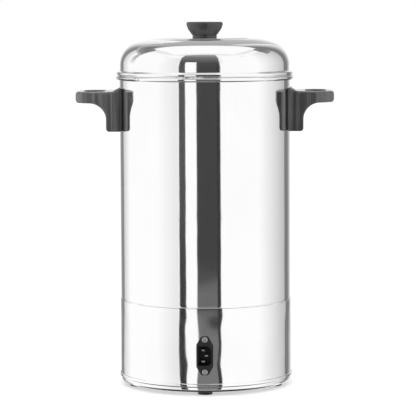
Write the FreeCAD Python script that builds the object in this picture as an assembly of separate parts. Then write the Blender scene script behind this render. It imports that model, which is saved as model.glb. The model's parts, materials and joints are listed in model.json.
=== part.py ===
import FreeCAD, Part
import math
import os
from FreeCAD import Vector

# A ten litre percolating coffee urn of polished stainless sheet.
# Frame: +Z is up, the tap faces -Y, the mains inlet faces +Y and the handles point to +X and -X.
# The origin is on the body's axis, at the underside of the flat disc in the middle of the base pan.
# All lengths are in millimetres and all angles in degrees.

# Base pan and feet
disc_r = 70.0
disc_step = 1.0
disc_edge_r = 1.2
pan_sheet = 0.6
pan_corner_r = 4.0
bead_low = 6.5
bead_height = 4.3
bead_reach = 1.9
bead_rise = 0.6
bead_turn = 0.4
bead_r = 0.7
bead_lip = 0.75
foot_count = 5
foot_inset = 16.8
foot_r = 9.25
foot_stand = 4.3
foot_edge_r = 1.0
foot_recess_r = 4.4
foot_recess = 2.0
foot_screw_r = 1.9
foot_screw_head_r = 3.6
foot_screw_head = 1.6
foot_screw_spare = 1.0
foot_nut_r = 4.2
foot_nut = 2.2

# Skirt, tank and rim
tank_r = 107.8
sheet = 0.8
skirt_step = 0.7
skirt_height = 105.3
skirt_lift = 1.6
seam_bead = 0.3
seam_bead_height = 1.3
seam_bead_r = 0.3
joggle = 0.2
joggle_depth = 12.0
joggle_slope = 1.3
joggle_start = 0.3
joggle_r = 0.9
tank_height = 282.3
rim_reach = 4.6
rim_roll = 5.3
rim_corner_r = 2.5
rim_gap = 0.8
slip = 0.1

# Tank floor, heater and base fittings
floor_drop = 2.0
floor_sheet = 0.8
floor_edge_r = 2.5
floor_flange = 11.0
well_r = 21.0
well_depth = 16.0
well_edge_r = 3.0
spreader_r = 64.0
spreader_bore_gap = 2.4
spreader_sheet = 2.5
element_ring_r = 34.0
element_tube_r = 4.0
element_span = 310.0
element_leg = 16.0
element_bend_r = 8.0
clamp_width = 16.0
clamp_sheet = 1.5
clamp_screw_r = 2.0
clamp_screw_ring_r = 46.0
clamp_screw_turn = 60.0
clamp_ear_r = 5.5
clamp_nut_r = 4.0
clamp_nut = 3.0
clamp_stud_spare = 1.5
clamp_gap_spare = 8.0
sensor_ring_r = 52.0
sensor_r = 8.0
sensor_height = 9.0
sensor_flange_r = 11.0
sensor_flange = 1.2
sensor_tab_reach = 9.0
sensor_tab_width = 6.0
cutout_height = 12.0
post_ring_r = 77.0
post_r = 4.5
post_height = 14.0
post_count = 3
post_turn = 50.0
tie_r = 2.0
tie_head_r = 3.5
tie_head = 2.0
tie_grip = 8.0

# Mains inlet
inlet_drop_from_seam = 59.1
inlet_x = 0.0
inlet_pitch = 40.0
inlet_flange_width = 21.0
inlet_flange_height = 48.0
inlet_end_width = 9.0
inlet_side_r = 3.0
inlet_end_r = 3.8
inlet_flange = 3.0
inlet_edge_r = 0.7
socket_height = 24.3
socket_width = 16.3
socket_chamfer = 4.0
socket_corner_r = 1.0
socket_depth = 17.0
inlet_wall = 1.3
inlet_back = 2.0
body_inset = 0.2
inlet_lip = 1.0
inlet_lip_reach = 0.8
pin_width = 4.0
pin_sheet = 2.0
pin_pitch = 14.0
pin_offset = 2.0
earth_offset = 2.0
pin_reach = 15.0
tab_reach = 9.0
tab_sheet = 0.9
inlet_screw_r = 1.7
inlet_screw_head_r = 3.4
inlet_screw_head = 1.9
inlet_nut_r = 3.2
inlet_nut = 2.4
inlet_screw_spare = 3.0
slot_width = 0.9
slot_depth = 0.9
slot_turn = 30.0

# Switch and lamps at the front of the skirt
switch_drop_from_seam = 58.0
switch_width = 15.0
switch_height = 21.0
switch_bezel = 2.0
switch_wall = 1.2
switch_rim = 1.2
switch_depth = 17.0
switch_corner_r = 1.0
bezel_root = 2.0
rocker_gap = 0.3
rocker_tilt = 10.0
rocker_proud = 2.2
rocker_pivot_depth = 3.0
rocker_axle_r = 1.2
rocker_body_depth = 5.0
rocker_back_inset = 2.0
rocker_crest = 1.5
rocker_crest_r = 4.0
lamp_angle = 13.0
lamp_r = 4.0
lamp_wall = 1.0
lamp_bezel_r = 6.2
lamp_bezel = 1.6
lamp_depth = 14.0
lens_proud = 2.6
lens_band = 0.2

# Handles
handle_drop = 19.3
loop_height = 14.3
loop_reach = 55.0
loop_half_width = 42.0
loop_corner_r = 27.0
loop_bar = 9.8
hole_reach = 25.8
hole_half_width = 30.0
hole_corner_r = 12.0
waist_reach = 8.6
waist_r = 9.0
root_rise = 4.0
root_reach = 1.5
root_inside = 10.0
root_top_r = 3.0
top_blend = 6.0
bracket_reach = 15.9
bracket_drop = 36.0
bracket_blend_r = 20.5
bracket_corner_r = 4.0
root_half_width = 33.0
flare_reach = 23.6
flare_r = 12.0
handle_edge_r = 4.0
handle_top_edge_r = 3.0
saddle_pad = 1.6
saddle_inset = 0.6
saddle_corner_r = 3.0
handle_screw_pitch = 28.0
handle_screw_drop = 8.0
handle_screw_r = 2.5
handle_screw_head_r = 4.6
handle_screw_head = 2.8
handle_screw_depth = 12.0
handle_seal_r = 5.6
handle_seal = 1.2
insert_r = 3.8
insert_length = 12.5
insert_spare = 0.5
insert_inset = 0.2
fit = 0.05

# Lid and knob
lid_inset = 0.6
lid_seat_gap = 0.1
brim_height = 4.7
brim_reach = 3.6
brim_corner_r = 2.0
brim_inset = 1.0
plug_gap = 0.9
plug_depth = 13.0
lid_rise = 46.1
lid_slope = 18.0
lid_slope_run = 35.7
lid_crown_r = 82.0
lid_shoulder_r = 29.5
lid_disc_inset = 15.3
lid_edge_r = 1.5
lid_fold_r = 1.2
lid_disc_step = 0.7
lid_disc_slope = 1.6
collar_r = 15.4
collar_height = 3.8
collar_edge_r = 0.5
knob_foot_r = 15.8
knob_foot_edge_r = 0.6
knob_waist_r = 21.2
knob_waist_height = 7.4
knob_waist_blend_r = 14.0
knob_r = 23.0
knob_height = 16.5
knob_edge_r = 2.4
knob_brow = 1.2
knob_brow_r = 1.5
knob_dish = 0.8
knob_dish_r = 18.0
knob_dish_edge_r = 3.0
knob_screw_r = 2.5
knob_screw_head_r = 4.8
knob_screw_head = 3.0
knob_screw_grip = 10.0
knob_washer_r = 9.0
knob_washer = 1.0

# Percolator
tube_r = 4.5
tube_wall = 0.7
tube_top_gap = 34.0
pump_foot_r = 18.0
pump_foot_sheet = 0.7
pump_foot_gap = 0.3
pump_foot_height = 12.0
pump_foot_hole_r = 1.8
pump_foot_hole_count = 10
pump_foot_hole_rise = 1.5
pump_foot_edge_r = 3.0
pump_neck_edge_r = 1.0
rest_gap = 0.2
pump_neck_height = 6.0
valve_r = 9.0
valve_sheet = 0.8
valve_travel = 3.0
stop_r = 7.5
stop_height = 3.0
basket_height_over_floor = 158.0
collar_on_tube_r = 9.0
collar_on_tube_height = 6.0
basket_r = 78.0
basket_depth = 74.0
basket_sheet = 0.6
basket_corner_r = 5.0
basket_lip = 3.0
basket_lip_r = 1.2
basket_hub_edge_r = 1.0
basket_hub_height = 10.0
basket_first_ring_r = 16.0
basket_hole_r = 1.1
basket_hole_rings = 5
basket_hole_ring_step = 13.0
basket_ring_turn = 11.0
cover_gap = 0.3
cover_rim = 5.0
cover_rim_r = 0.9
cover_hub_edge_r = 1.2
cover_ring_r = 42.9
cover_inner_ring_r = 23.4
cover_outer_ring_r = 64.0
cover_ring_turn = 7.5
cover_hole_r = 1.6
cover_hole_count = 24
run_fit = 0.3

# How far a cutting shape reaches past what it cuts
past = 1.0

# Tap
tap_over_floor = 20.0
shank_r = 8.0
shank_bore_r = 5.0
shank_inside = 12.0
tap_flange_r = 14.0
tap_flange = 3.0
tap_washer = 2.5
tap_washer_inner_sheet = 2.0
tap_nut_flats = 24.0
tap_nut_height = 6.0
barrel_r = 10.0
chamber_reach = 45.0
chamber_r = 13.0
chamber_wall = 3.5
chamber_rise = 20.0
chamber_drop = 15.0
seat_drop = 10.0
spout_r = 9.0
spout_bore_r = 6.0
spout_drop = 34.0
spout_edge_r = 1.0
spout_shoulder = 5.0
spout_shoulder_r = 2.0
bonnet_wall = 2.2
bonnet_skirt = 9.0
bonnet_top = 4.0
bonnet_edge_r = 1.0
stem_r = 3.0
stem_collar = 2.0
stem_collar_r = 8.0
seat_disc_r = 8.0
seat_disc = 3.0
seat_gap = 0.1
spring_r = 7.3
spring_inner_r = 4.0
cam_r = 7.0
cam_throw = 3.0
cam_rest_angle = 135.0
cam_gap = 0.1
lever_width = 17.0
lever_slot = 7.0
lever_pin_r = 2.0
stem_over_pin = 4.0
lever_length = 56.0
lever_sheet = 8.0
lever_lean = 12.0
lever_end_r = 3.5
lever_slot_spare = 2.0
lever_root_share = 0.95

# Sight gauge
gauge_reach = 17.0
tee_r = 10.0
tee_rise = 26.0
glass_r = 6.0
glass_wall = 1.6
glass_seat_rise = 12.0
glass_socket_gap = 0.2
glass_top_drop = 34.0
seal_r = 8.2
seal_height = 5.0
shield_width = 20.0
shield_depth = 21.0
shield_sheet = 0.8
shield_corner_r = 4.0
shield_slot = 7.0
shield_slot_margin = 12.0
cap_height = 14.0
cap_overlap = 5.0
cap_wall = 1.5
cap_edge_r = 1.5
cap_boss_r = 6.0
cap_screw_r = 2.0
cap_screw_head_r = 3.8
cap_screw_head = 2.4
cap_screw_grip = 9.0
cap_screw_gap = 0.1
cap_vent_r = 1.0
glass_gap = 0.1
glass_cap_gap = 1.2

# Wiring
wire_r = 1.2
block_x = 24.0
block_y = 14.0
block_z = 12.0
block_from_inlet = 52.0
block_corner_r = 1.5
wire_bend_r = 9.0
wire_tab_run = 10.0
wire_block_run = 12.0
wire_leg_run = 18.0
wire_back_leg_run = 12.0
wire_sweep = 16.0
wire_long_sweep = 30.0
wire_switch_run = 14.0
wire_switch_sweep = 24.0
wire_switch_pitch = 4.0

# Levels and radii that follow from the sizes above
pan_z = disc_step
foot_circle_r = tank_r - foot_inset
table_z = pan_z - foot_stand
bead_z = pan_z + bead_low
seam_z = pan_z + skirt_height
rim_z = seam_z + tank_height
skirt_r = tank_r + skirt_step
skirt_inner_r = skirt_r - sheet
tank_inner_r = tank_r - sheet
joggle_inner_r = tank_inner_r - joggle
floor_z = seam_z - floor_drop
floor_under_z = floor_z - floor_sheet
well_z = floor_z - well_depth
rim_r = tank_r + rim_reach
spreader_z = floor_under_z - spreader_sheet
element_z = spreader_z - element_tube_r
clamp_z = element_z - element_tube_r - clamp_sheet
lid_seat_z = rim_z + lid_seat_gap
lid_r = tank_r - lid_inset
lid_slope_start_r = lid_r - lid_slope_run
lid_disc_r = lid_slope_start_r - lid_disc_inset
lid_top_z = lid_seat_z + lid_rise
lid_disc_z = lid_top_z + lid_disc_step
collar_top_z = lid_disc_z + collar_height
loop_top_z = rim_z - handle_drop
loop_low_z = loop_top_z - loop_height
bracket_z = loop_low_z - bracket_drop
root_top_z = loop_top_z + root_rise
loop_x = tank_r + loop_reach
hole_x1 = loop_x - loop_bar
hole_x0 = hole_x1 - hole_reach
root_x0 = tank_r - root_inside
basket_z = floor_z + basket_height_over_floor
tap_z = floor_z + tap_over_floor
chamber_y = -(tank_r + chamber_reach)
chamber_top_z = tap_z + chamber_rise
seat_z = tap_z - seat_drop
bonnet_z = chamber_top_z + bonnet_top
cam_rest = cam_r - cam_throw * math.sin(math.radians(cam_rest_angle))
pin_z = bonnet_z + cam_gap + cam_rest
gauge_y = -(tank_r + gauge_reach)
glass_seat_z = tap_z + glass_seat_rise
tee_top_z = tap_z + tee_rise
glass_top_z = rim_z - glass_top_drop
inlet_z = seam_z - inlet_drop_from_seam
switch_z = seam_z - switch_drop_from_seam

origin = Vector(0, 0, 0)
ax_x = Vector(1, 0, 0)
ax_y = Vector(0, 1, 0)
ax_z = Vector(0, 0, 1)
big = 2 * rim_z


def in_xz(x, z):
    return Vector(x, 0, z)


def in_xy(x, y):
    return Vector(x, y, 0)


def in_yz(y, z):
    return Vector(0, y, z)


def outline(points, place, closed=True):
    """Joins points (a, b) or (a, b, radius) in a plane; a radius rounds that corner with an arc."""
    count = len(points)
    knots = []
    for i, point in enumerate(points):
        corner = Vector(point[0], point[1], 0)
        radius = point[2] if len(point) > 2 else 0.0
        at_end = not closed and i in (0, count - 1)
        if at_end or radius == 0:
            knots.append((corner, None, corner))
            continue
        before = points[i - 1]
        after = points[(i + 1) % count]
        back = (Vector(before[0], before[1], 0) - corner).normalize()
        ahead = (Vector(after[0], after[1], 0) - corner).normalize()
        half = back.getAngle(ahead) / 2
        run = radius / math.tan(half)
        middle = (back + ahead).normalize() * (radius / math.sin(half) - radius)
        knots.append((corner + back * run, corner + middle, corner + ahead * run))
    edges = []
    for i, (start, middle, end) in enumerate(knots):
        if middle is not None:
            arc = Part.Arc(place(start.x, start.y), place(middle.x, middle.y), place(end.x, end.y))
            edges.append(arc.toShape())
        following = (i + 1) % count
        if following == 0 and not closed:
            break
        target = knots[following][0]
        if (target - end).Length > 1e-6:
            edges.append(Part.LineSegment(place(end.x, end.y), place(target.x, target.y)).toShape())
    return Part.Wire(edges)


def plate(points, place, direction):
    """A flat outline pushed along a vector."""
    return Part.Face(outline(points, place)).extrude(direction)


def turned(points):
    """A closed (radius, z) outline turned about Z."""
    return Part.Face(outline(points, in_xz)).revolve(origin, ax_z, 360)


def drawn(points, thickness):
    """Sheet drawn into a round shape: an open (radius, z) line, thickened and turned about Z.

    A positive thickness lies to the left of the line's direction."""
    line = outline(points, in_xz, closed=False)
    return line.makeOffset2D(thickness, 0, True, True).revolve(origin, ax_z, 360)


def rod(radius, start, direction, length):
    return Part.makeCylinder(radius, length, start, direction)


def ring(outer, inner, low, high):
    start = Vector(0, 0, low)
    return rod(outer, start, ax_z, high - low).cut(rod(inner, start, ax_z, high - low))


def pipe_along(outer, inner, start, direction, length):
    return rod(outer, start, direction, length).cut(rod(inner, start, direction, length))


def block(x0, x1, y0, y1, z0, z1):
    return Part.makeBox(x1 - x0, y1 - y0, z1 - z0, Vector(x0, y0, z0))


def rounded_block(x0, x1, y0, y1, z0, z1, radius, axis):
    """A block whose four edges along one axis are rounded."""
    shape = block(x0, x1, y0, y1, z0, z1)
    edges = [e for e in shape.Edges if abs(e.tangentAt(e.FirstParameter).dot(axis)) > 0.99]
    return shape.makeFillet(radius, edges)


def moved(shape, offset):
    copy = shape.copy()
    copy.translate(offset)
    return copy


def spun(shape, angle, axis=ax_z, centre=origin):
    copy = shape.copy()
    copy.rotate(centre, axis, angle)
    return copy


def round_about(shape, count, first_angle=0.0):
    """Copies of a piece evenly spread about the Z axis."""
    return [spun(shape, first_angle + i * 360.0 / count) for i in range(count)]


def hexagon(across_corners_r, start, direction, length):
    """A hexagonal bar; two of its corners lie along X, or along Y for a bar along X."""
    up = ax_z if abs(direction.dot(ax_z)) < 0.5 else ax_y
    side = direction.cross(up)
    corners = []
    for i in range(6):
        angle = math.radians(60 * i)
        corners.append(start + side * (across_corners_r * math.cos(angle))
                       + up * (across_corners_r * math.sin(angle)))
    corners.append(corners[0])
    return Part.Face(Part.makePolygon(corners)).extrude(direction * length)


def whole(shape):
    """The single clean solid inside the result of a cut or a fusion."""
    solid = shape.removeSplitter()
    if len(solid.Solids) != 1:
        raise ValueError("a piece came apart into %d solids" % len(solid.Solids))
    return solid.Solids[0]


def group(solids):
    return Part.makeCompound([whole(s) for s in solids])


# Base pan, feet and their screws

def at_foot(shape):
    """Copies of a piece made on the +X side, one over each foot, with one foot straight at the back."""
    return round_about(shape, foot_count, 90)


def at_tie(shape):
    return round_about(shape, post_count, post_turn)


def base_pan():
    line = [(0, 0), (disc_r, 0, disc_edge_r), (disc_r + disc_step, pan_z, disc_edge_r),
            (tank_r, pan_z, pan_corner_r), (tank_r, bead_z, bead_r),
            (tank_r + bead_reach, bead_z + bead_rise, bead_r),
            (tank_r + bead_reach, bead_z + bead_height - bead_turn, bead_r),
            (tank_r + bead_reach - bead_lip, bead_z + bead_height)]
    pan = drawn(line, pan_sheet)
    holes = at_foot(rod(foot_screw_r + slip, Vector(foot_circle_r, 0, 0), ax_z, big))
    holes += at_tie(rod(tie_r + slip, Vector(post_ring_r, 0, 0), ax_z, big))
    return pan.cut(Part.makeCompound(holes))


def foot():
    low = table_z
    body = turned([(foot_screw_r + slip, low + foot_recess), (foot_recess_r, low + foot_recess),
                   (foot_recess_r, low), (foot_r, low, foot_edge_r), (foot_r, pan_z),
                   (foot_screw_r + slip, pan_z)])
    return moved(body, Vector(foot_circle_r, 0, 0))


def foot_screw():
    low = table_z + foot_recess
    top = pan_z + pan_sheet + foot_nut + foot_screw_spare
    head = rod(foot_screw_head_r, Vector(0, 0, low - foot_screw_head), ax_z, foot_screw_head)
    shank = rod(foot_screw_r, Vector(0, 0, low), ax_z, top - low)
    return moved(head.fuse(shank), Vector(foot_circle_r, 0, 0))


def foot_nut_piece():
    nut = hexagon(foot_nut_r, Vector(foot_circle_r, 0, pan_z + pan_sheet), ax_z, foot_nut)
    return nut.cut(rod(foot_screw_r + fit, Vector(foot_circle_r, 0, 0), ax_z, big))


# Skirt, tank and floor

def base_skirt():
    low = bead_z + skirt_lift
    bead_top = seam_z - seam_bead_height * 0.3
    bead_foot = seam_z - seam_bead_height * 0.7
    line = [(skirt_inner_r, low), (skirt_r, low), (skirt_r, seam_z - seam_bead_height),
            (skirt_r + seam_bead, bead_foot, seam_bead_r), (skirt_r + seam_bead, bead_top, seam_bead_r),
            (skirt_r, seam_z), (skirt_inner_r, seam_z)]
    skirt = turned(line)
    half_height = socket_height / 2 + inlet_wall + slip
    half_width = socket_width / 2 + inlet_wall + slip
    window = block(inlet_x - half_width, inlet_x + half_width, 0, big,
                   inlet_z - half_height, inlet_z + half_height)
    cuts = [window]
    for side in (-1, 1):
        start = Vector(inlet_x, 0, inlet_z + side * inlet_pitch / 2)
        cuts.append(rod(inlet_screw_r + slip, start, ax_y, big))
    half_w = switch_width / 2 - switch_rim + slip
    half_h = switch_height / 2 - switch_rim + slip
    cuts.append(block(-half_w, half_w, -big, 0, switch_z - half_h, switch_z + half_h))
    for side in (-1, 1):
        hole = rod(lamp_r + lamp_wall + slip, Vector(0, 0, switch_z), -ax_y, big)
        cuts.append(spun(hole, side * lamp_angle))
    return skirt.cut(Part.makeCompound(cuts))


def tank_wall():
    low = seam_z - joggle_depth
    slope_z = seam_z + joggle_start
    line = [(joggle_inner_r, low), (joggle_inner_r, slope_z, joggle_r),
            (tank_inner_r, slope_z + joggle_slope, joggle_r), (tank_inner_r, rim_z, rim_corner_r),
            (rim_r, rim_z, rim_corner_r), (rim_r, rim_z - rim_roll, rim_corner_r),
            (tank_r + rim_gap, rim_z - rim_roll)]
    wall = drawn(line, -sheet)
    cuts = [rod(shank_r + slip, Vector(0, 0, tap_z), -ax_y, big)]
    cuts.append(rod(cap_screw_r + slip, Vector(0, 0, gauge_screw_z()), -ax_y, big))
    for z in handle_screw_levels():
        cuts.append(rod(handle_screw_r + slip, Vector(-big, 0, z), ax_x, 2 * big))
    return wall.cut(Part.makeCompound(cuts))


def tank_floor():
    edge_r = joggle_inner_r - slip
    line = [(0, well_z), (well_r, well_z, well_edge_r), (well_r, floor_z, well_edge_r),
            (edge_r, floor_z, floor_edge_r), (edge_r, floor_z - floor_flange)]
    return drawn(line, -floor_sheet)


# Heater under the floor

def clamp_angles():
    """Two screws on each side, clear of the two sensors and of the ring's open end."""
    turn = clamp_screw_turn
    return [turn, 180 - turn, 180 + turn, 360 - turn]


def spreader_plate():
    inner = well_r + floor_sheet + spreader_bore_gap
    disc = ring(spreader_r, inner, spreader_z, floor_under_z)
    low = clamp_z - clamp_nut - clamp_stud_spare
    stud = rod(clamp_screw_r, Vector(clamp_screw_ring_r, 0, low), ax_z, spreader_z - low)
    return disc.multiFuse([spun(stud, a) for a in clamp_angles()])


def element_leg_place():
    """Where the +Y leg of the element stands, and the height of the end of its bend."""
    half = math.radians(element_span / 2)
    bend = element_bend_r
    x = element_ring_r * math.cos(half) - bend * math.sin(half)
    y = element_ring_r * math.sin(half) + bend * math.cos(half)
    return x, y, element_z - bend


def heating_element():
    """A tube bent into an open ring, with both ends turned down to their terminals."""
    half = math.radians(element_span / 2)
    bend = element_bend_r
    leg_x, leg_y, leg_z = element_leg_place()
    path = []
    for side in (-1, 1):
        ring_end = Vector(element_ring_r * math.cos(half), side * element_ring_r * math.sin(half), element_z)
        leg_top = Vector(leg_x, side * leg_y, leg_z)
        centre = ring_end - ax_z * bend
        outward = (leg_top - centre).normalize()
        swing = centre + (outward + ax_z).normalize() * bend
        path.append(Part.LineSegment(leg_top - ax_z * element_leg, leg_top).toShape())
        path.append(Part.Arc(leg_top, swing, ring_end).toShape())
    turn = Part.Arc(Vector(element_ring_r * math.cos(half), -element_ring_r * math.sin(half), element_z),
                    Vector(element_ring_r, 0, element_z),
                    Vector(element_ring_r * math.cos(half), element_ring_r * math.sin(half), element_z))
    path.append(turn.toShape())
    spine = Part.Wire(Part.__sortEdges__(path))
    start = Vector(leg_x, -leg_y, leg_z - element_leg)
    section = Part.Wire([Part.Circle(start, ax_z, element_tube_r).toShape()])
    return spine.makePipeShell([section], True, False)


def element_clamp():
    inner = element_ring_r - clamp_width / 2
    outer = element_ring_r + clamp_width / 2
    arc = ring(outer, inner, clamp_z, clamp_z + clamp_sheet)
    gap_angle = (360 - element_span) / 2 + clamp_gap_spare
    reach = outer * math.tan(math.radians(gap_angle))
    gap = plate([(0, 0), (-outer, -reach), (-outer, reach)], in_xy, ax_z * big)
    arc = arc.cut(gap)
    ears = []
    for a in clamp_angles():
        ear = rod(clamp_ear_r, Vector(clamp_screw_ring_r, 0, clamp_z), ax_z, clamp_sheet)
        ears.append(spun(ear, a))
    arc = arc.multiFuse(ears)
    holes = [spun(rod(clamp_screw_r + slip, Vector(clamp_screw_ring_r, 0, 0), ax_z, big), a)
             for a in clamp_angles()]
    return arc.cut(Part.makeCompound(holes))


def clamp_nuts():
    nut = hexagon(clamp_nut_r, Vector(clamp_screw_ring_r, 0, clamp_z - clamp_nut), ax_z, clamp_nut)
    nut = nut.cut(rod(clamp_screw_r + fit, Vector(clamp_screw_ring_r, 0, 0), ax_z, big))
    return [spun(nut, a) for a in clamp_angles()]


def sensor(height):
    """A round snap-disc switch hanging under the spreader plate, made on the +X side."""
    centre = Vector(sensor_ring_r, 0, spreader_z)
    flange = rod(sensor_flange_r, centre, -ax_z, sensor_flange)
    body = rod(sensor_r, centre, -ax_z, height)
    tabs = []
    for side in (-1, 1):
        y = side * sensor_r / 2
        tabs.append(block(sensor_ring_r - sensor_tab_width / 2, sensor_ring_r + sensor_tab_width / 2,
                          y - tab_sheet / 2, y + tab_sheet / 2,
                          spreader_z - height - sensor_tab_reach, spreader_z - height))
    return flange.multiFuse([body] + tabs)


def post():
    start = Vector(post_ring_r, 0, floor_under_z - post_height)
    return hexagon(post_r, start, ax_z, post_height).cut(rod(tie_r + fit, start, ax_z, tie_grip + past))


def tie_screw():
    top = floor_under_z - post_height + tie_grip
    head = rod(tie_head_r, Vector(post_ring_r, 0, pan_z - tie_head), ax_z, tie_head)
    shank = rod(tie_r, Vector(post_ring_r, 0, pan_z), ax_z, top - pan_z)
    return head.fuse(shank)


# Mains inlet, made facing +Y around (inlet_x, inlet_z)

def socket_outline(spare):
    """The plug opening, with the two corners on the -X side cut off."""
    half_w = socket_width / 2 + spare
    half_h = socket_height / 2 + spare
    cut = socket_chamfer
    corners = [(half_w, -half_h), (half_w, half_h), (-half_w + cut, half_h), (-half_w, half_h - cut),
               (-half_w, -half_h + cut), (-half_w + cut, -half_h)]
    return [(inlet_x + x, inlet_z + z, socket_corner_r) for x, z in corners]


def pin_places():
    """Line, neutral and earth: (x, z) of each blade."""
    line_x = inlet_x + pin_offset
    return [(line_x, inlet_z + pin_pitch / 2), (line_x, inlet_z - pin_pitch / 2),
            (inlet_x - earth_offset, inlet_z)]


def inlet_housing():
    face_y = skirt_r + inlet_flange
    half_h = inlet_flange_height / 2
    half_w = inlet_flange_width / 2
    end_w = inlet_end_width / 2
    shoulder = socket_height / 2 + inlet_wall
    side_r = inlet_side_r
    end_r = inlet_end_r
    corners = [(half_w, -shoulder, side_r), (half_w, shoulder, side_r), (end_w, half_h, end_r),
               (-end_w, half_h, end_r), (-half_w, shoulder, side_r), (-half_w, -shoulder, side_r),
               (-end_w, -half_h, end_r), (end_w, -half_h, end_r)]
    shape = [(inlet_x + x, inlet_z + z, r) for x, z, r in corners]
    flange = plate(shape, in_xz, ax_y * face_y)
    rim = [e for e in flange.Edges if e.BoundBox.YMin > face_y - 0.01]
    flange = flange.makeFillet(inlet_edge_r, rim)
    saddle = rod(skirt_r + fit, Vector(0, 0, inlet_z - half_h), ax_z, 2 * half_h)
    flange = flange.cut(saddle)
    lip = plate(socket_outline(inlet_lip), in_xz, ax_y * (face_y + inlet_lip_reach))
    lip = lip.cut(saddle)
    depth = socket_depth + inlet_back
    half_bh = socket_height / 2 + inlet_wall
    half_bw = socket_width / 2 + inlet_wall
    body = block(inlet_x - half_bw, inlet_x + half_bw, face_y - depth, face_y - body_inset,
                 inlet_z - half_bh, inlet_z + half_bh)
    housing = flange.multiFuse([body, lip])
    cavity = plate(socket_outline(0), in_xz, ax_y * big)
    cavity.translate(ax_y * (face_y - socket_depth))
    cuts = [cavity]
    for x, z in pin_places():
        cuts.append(block(x - pin_width / 2, x + pin_width / 2, 0, big, z - pin_sheet / 2, z + pin_sheet / 2))
    for side in (-1, 1):
        start = Vector(inlet_x, 0, inlet_z + side * inlet_pitch / 2)
        cuts.append(rod(inlet_screw_r + slip, start, ax_y, big))
    return housing.cut(Part.makeCompound(cuts))


def inlet_pin(x, z):
    face_y = skirt_r + inlet_flange
    back_y = face_y - socket_depth - inlet_back
    front_y = face_y - socket_depth + pin_reach
    blade = block(x - pin_width / 2, x + pin_width / 2, back_y, front_y, z - pin_sheet / 2, z + pin_sheet / 2)
    tab = block(x - pin_width / 2, x + pin_width / 2, back_y - tab_reach, back_y + past,
                z - tab_sheet / 2, z + tab_sheet / 2)
    return blade.fuse(tab)


def inlet_screw(side):
    z = inlet_z + side * inlet_pitch / 2
    face_y = skirt_r + inlet_flange
    head = rod(inlet_screw_head_r, Vector(inlet_x, face_y, z), ax_y, inlet_screw_head)
    rim = [e for e in head.Edges if e.BoundBox.YMin > face_y + inlet_screw_head - 0.01]
    head = head.makeFillet(inlet_screw_head * 0.5, rim)
    slot = block(inlet_x - slot_width / 2, inlet_x + slot_width / 2,
                 face_y + inlet_screw_head - slot_depth, big, z - inlet_screw_head_r, z + inlet_screw_head_r)
    low_y = skirt_inner_r - inlet_nut - inlet_screw_spare
    shank = rod(inlet_screw_r, Vector(inlet_x, low_y, z), ax_y, face_y - low_y)
    return head.cut(spun(slot, slot_turn * side, ax_y, Vector(inlet_x, 0, z))).fuse(shank)


def inlet_nut_piece(side):
    z = inlet_z + side * inlet_pitch / 2
    top_y = math.sqrt(skirt_inner_r ** 2 - (abs(inlet_x) + inlet_nut_r) ** 2) - fit
    nut = hexagon(inlet_nut_r, Vector(inlet_x, top_y - inlet_nut, z), ax_y, inlet_nut)
    return nut.cut(rod(inlet_screw_r + fit, Vector(inlet_x, 0, z), ax_y, big))


# Switch and lamps, made facing +Y and then turned to the front

def to_front(shape, angle=0.0):
    return spun(shape, 180 + angle)


def switch_housing():
    half_w = switch_width / 2
    half_h = switch_height / 2
    in_w = half_w - switch_rim
    in_h = half_h - switch_rim
    face_y = skirt_r + switch_bezel
    bezel = rounded_block(-half_w, half_w, skirt_r - bezel_root, face_y, switch_z - half_h, switch_z + half_h,
                          switch_corner_r, ax_y)
    bezel = bezel.cut(rod(skirt_r + fit, Vector(0, 0, switch_z - half_h), ax_z, switch_height))
    body = block(-in_w, in_w, face_y - switch_depth, face_y - body_inset, switch_z - in_h, switch_z + in_h)
    room_w = in_w - switch_wall
    room_h = in_h - switch_wall
    room = block(-room_w, room_w, face_y - switch_depth + switch_wall, big,
                 switch_z - room_h, switch_z + room_h)
    pivot = rod(rocker_axle_r + fit, Vector(-in_w, face_y - rocker_pivot_depth, switch_z), ax_x, 2 * in_w)
    return bezel.fuse(body).cut(room).cut(pivot)


def rocker():
    """The rocker at its off stop: its lower half is pressed in."""
    face_y = skirt_r + switch_bezel
    half_w = switch_width / 2 - switch_rim - switch_wall - rocker_gap
    half_h = switch_height / 2 - switch_rim - switch_wall - rocker_gap
    pivot_y = face_y - rocker_pivot_depth
    centre = Vector(0, pivot_y, switch_z)
    rise = half_h * math.tan(math.radians(rocker_tilt))
    front = face_y + rocker_proud
    back = pivot_y - rocker_body_depth
    back_h = half_h - rocker_back_inset
    side = [(back, switch_z - back_h), (face_y + rise, switch_z - half_h),
            (front, switch_z - rocker_crest, rocker_crest_r), (front, switch_z + rocker_crest, rocker_crest_r),
            (face_y + rise, switch_z + half_h), (back, switch_z + back_h)]
    body = plate(side, in_yz, ax_x * (2 * half_w))
    body.translate(-ax_x * half_w)
    sweep = rod(half_h, Vector(-half_w, pivot_y, switch_z), ax_x, 2 * half_w)
    near = sweep.common(body)
    axle = rod(rocker_axle_r, Vector(-half_w - rocker_gap - switch_wall, pivot_y, switch_z), ax_x,
               2 * (half_w + rocker_gap + switch_wall))
    shape = near.fuse(axle)
    return spun(shape, -rocker_tilt, ax_x, centre)


def lamp_holder():
    outer = lamp_r + lamp_wall
    start = Vector(0, skirt_r - lamp_depth, switch_z)
    barrel = rod(outer, start, ax_y, lamp_depth + lamp_bezel)
    bezel = rod(lamp_bezel_r, Vector(0, skirt_r - bezel_root, switch_z), ax_y, lamp_bezel + bezel_root)
    bezel = bezel.cut(rod(skirt_r + fit, Vector(0, 0, switch_z - lamp_bezel_r), ax_z, 2 * lamp_bezel_r))
    room = rod(lamp_r, start + ax_y * lamp_wall, ax_y, big)
    return barrel.fuse(bezel).cut(room)


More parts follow.
